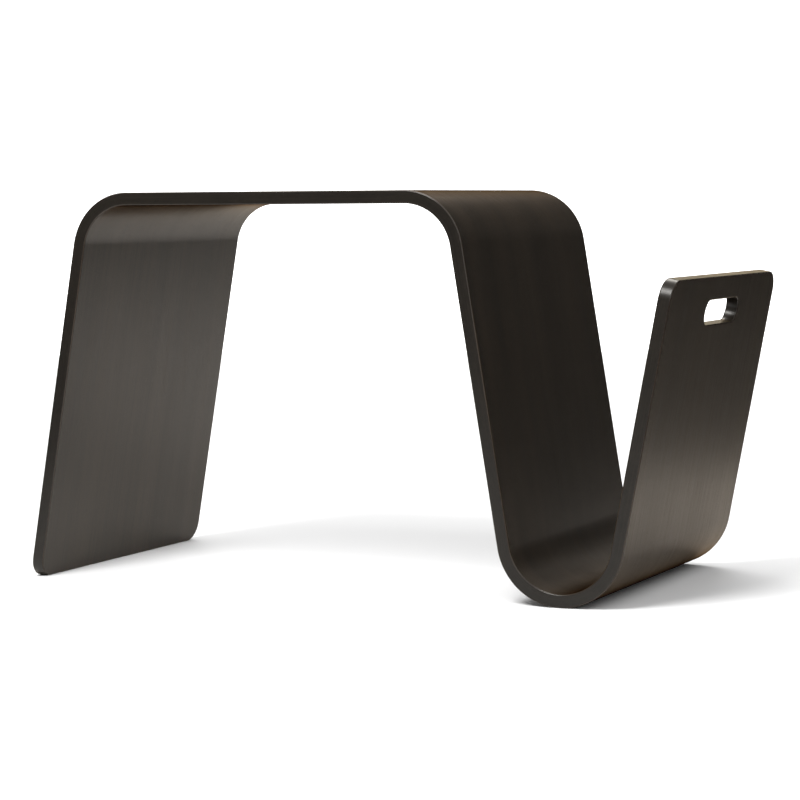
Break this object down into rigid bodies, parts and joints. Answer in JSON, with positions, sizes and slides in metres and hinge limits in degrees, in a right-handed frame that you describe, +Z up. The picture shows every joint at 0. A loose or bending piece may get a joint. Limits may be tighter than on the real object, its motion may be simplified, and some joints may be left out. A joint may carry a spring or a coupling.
{
  "type": "side table with magazine pocket",
  "caption": "Low bent-plywood side table whose end curls up from the floor into a magazine pocket with a hand slot.",
  "frame": {"origin": "on the floor, under the middle of the bounding box", "axes": "+X from the leg towards the magazine pocket, +Y towards the back, +Z up"},
  "size_m": [0.7396, 0.356, 0.419],
  "materials": {
    "face_veneer": "very dark brown stain under satin lacquer, long grain",
    "core_veneer": "very dark brown stain under satin lacquer on the edges"
  },
  "bodies": {
    "root": {"face_veneer_top": "face_veneer", "core_ply_1": "core_veneer", "core_ply_2": "core_veneer", "core_ply_3": "core_veneer", "core_ply_4": "core_veneer", "core_ply_5": "core_veneer", "core_ply_6": "core_veneer", "core_ply_7": "core_veneer", "core_ply_8": "core_veneer", "core_ply_9": "core_veneer", "face_veneer_under": "face_veneer"}
  },
  "joints": []
}
